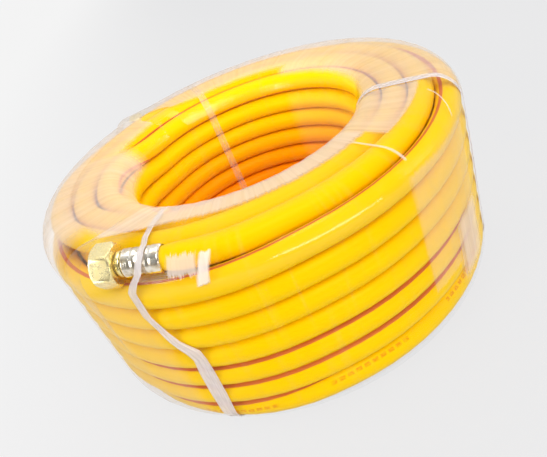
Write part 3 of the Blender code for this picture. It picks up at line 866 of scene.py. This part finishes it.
# ---- camera, lamps, floor and sky ---------------------------------------------------------
def make_camera():
    """The photograph's view: the coil's axis is upright, and the camera rolls instead."""
    middle = Vector((0, 0, (Z_TOP + R) / 2))
    back = Vector((0, -cos(ELEVATION), sin(ELEVATION)))
    ahead = -back
    right = Vector((1, 0, 0))
    up = right.cross(ahead)
    rolled_right = right * cos(ROLL) + up * sin(ROLL)
    rolled_up = up * cos(ROLL) - right * sin(ROLL)
    ahead = (ahead * cos(AIM_SIDE) * cos(AIM_UP) + rolled_right * sin(AIM_SIDE) * cos(AIM_UP)
             + rolled_up * sin(AIM_UP)).normalized()
    right = ahead.cross(rolled_up).normalized()
    up = right.cross(ahead)
    data = bpy.data.cameras.new("camera")
    data.sensor_width = 36
    data.lens = 36 * FOCAL / FRAME_WIDTH
    camera = bpy.data.objects.new("camera", data)
    bpy.context.scene.collection.objects.link(camera)
    turn = Matrix((right, up, -ahead)).transposed()
    camera.matrix_world = Matrix.Translation(middle + back * DISTANCE) @ turn.to_4x4()
    bpy.context.scene.camera = camera


def add_lamp(name, place, target, size, power):
    """A rectangular lamp that the camera doesn't see."""
    data = bpy.data.lights.new(name, "AREA")
    data.shape = "RECTANGLE"
    data.size, data.size_y = size
    data.energy = power
    lamp = bpy.data.objects.new(name, data)
    lamp.visible_camera = False
    bpy.context.scene.collection.objects.link(lamp)
    turn = (Vector(target) - Vector(place)).to_track_quat("-Z", "Y").to_matrix().to_4x4()
    lamp.matrix_world = Matrix.Translation(place) @ turn


def rays_seen(look):
    """Whether a ray comes from the camera, and whether from a mirroring surface: the background
    has its own tone for both. Clear film passes the camera's rays on as they are."""
    return look.node("LightPath", output=("Is Camera Ray", "Is Glossy Ray"))


def make_floor():
    """A pale floor that shows as one plain tone, a little darker to the right, under a faint
    shadow. Metal and film mirror it paler behind the object than before it."""
    mesh = bpy.data.meshes.new("floor")
    corners = [(x * FLOOR_HALF, y * FLOOR_HALF, 0) for x, y in ((-1, -1), (1, -1), (1, 1), (-1, 1))]
    mesh.from_pydata(corners, [], [(0, 1, 2, 3)])
    floor = bpy.data.objects.new("floor", mesh)
    bpy.context.scene.collection.objects.link(floor)
    look = Look("floor")
    x, y, _ = look.place()
    look.set(Base_Color=(0.62, 0.62, 0.62), Roughness=0.9, Specular_IOR_Level=0.0)
    camera, glossy = rays_seen(look)
    tone = look.blend(x.ramp(-0.6, 0.1), linear(252, 252, 252), linear(237, 237, 238))
    mirrored = look.blend(y.ramp(-0.9, -0.5), (0.35, 0.33, 0.30), linear(243, 243, 243))
    plain = look.node("Emission", None, {"Color": look.blend(glossy, tone, mirrored)})
    mesh.materials.append(look.show(look.mix((camera * 0.9).maximum(glossy), look.body, plain)))


def make_world():
    """Even studio light. Metal and film mirror it darker on the camera's side."""
    world = bpy.data.worlds.new("studio")
    world.use_nodes = True
    bpy.context.scene.world = world
    look = Look("studio", world.node_tree)
    x, y, _ = look.parts(look.node("TexCoord", output="Generated"))
    camera, glossy = rays_seen(look)
    tone = look.blend(x.ramp(-0.8, 0.6), linear(247, 247, 247), linear(233, 233, 233))
    mirrored = look.blend(y.ramp(-0.5, 0.3), (0.22, 0.21, 0.19), linear(245, 245, 245))
    light = look.blend(glossy, (WORLD_LIGHT,) * 3, mirrored)
    sky = world.node_tree.nodes["Background"]
    look.put(sky.inputs["Color"], look.blend(camera, light, tone))


def main():
    """Sets the stage, then makes the hose, its fittings, the ties and the film."""
    bpy.context.scene.view_settings.view_transform = "Standard"
    make_camera()
    make_world()
    make_floor()
    for lamp in LAMPS:
        add_lamp(*lamp)

    angle, r, z, _, _ = skin_route()
    skin = point_at(angle, r, z)
    fittings = [end_run(skin, TUCK_A, TILT_A), end_run(skin[::-1], TUCK_B, TILT_B)]
    looks = {
        "brass": metal_look("pale_brass", (0.98, 0.86, 0.44), (0.90, 0.76, 0.34), 0.22, 30),
        "ferrule": metal_look("plated_steel", (0.93, 0.89, 0.80), (0.70, 0.60, 0.45), 0.16, 40),
        "steel": metal_look("spring_steel", (0.55, 0.55, 0.55), (0.4, 0.4, 0.4), 0.3, 10),
        "rubber": plain_look("washer_rubber", (0.03, 0.03, 0.03), 0.6),
    }
    hose, points, length = make_hose(fittings, "coil")
    on_hose = []
    for tag, (mouth, axis) in zip("ab", fittings):
        on_hose += make_fitting(tag, mouth, axis, looks)
    ribbon = ribbon_look("ribbon_film", 0.72, 0.97)
    thin_ribbon = ribbon_look("thin_ribbon_film", 0.1, 0.4)
    for number, angle in enumerate(TIE_ANGLES, 1):
        make_tie(number, angle, fittings, thin_ribbon if number == 3 else ribbon)
    make_film(fittings, film_look(), [f"film_wrap_{k:02d}" for k in range(1, 13)])


main()
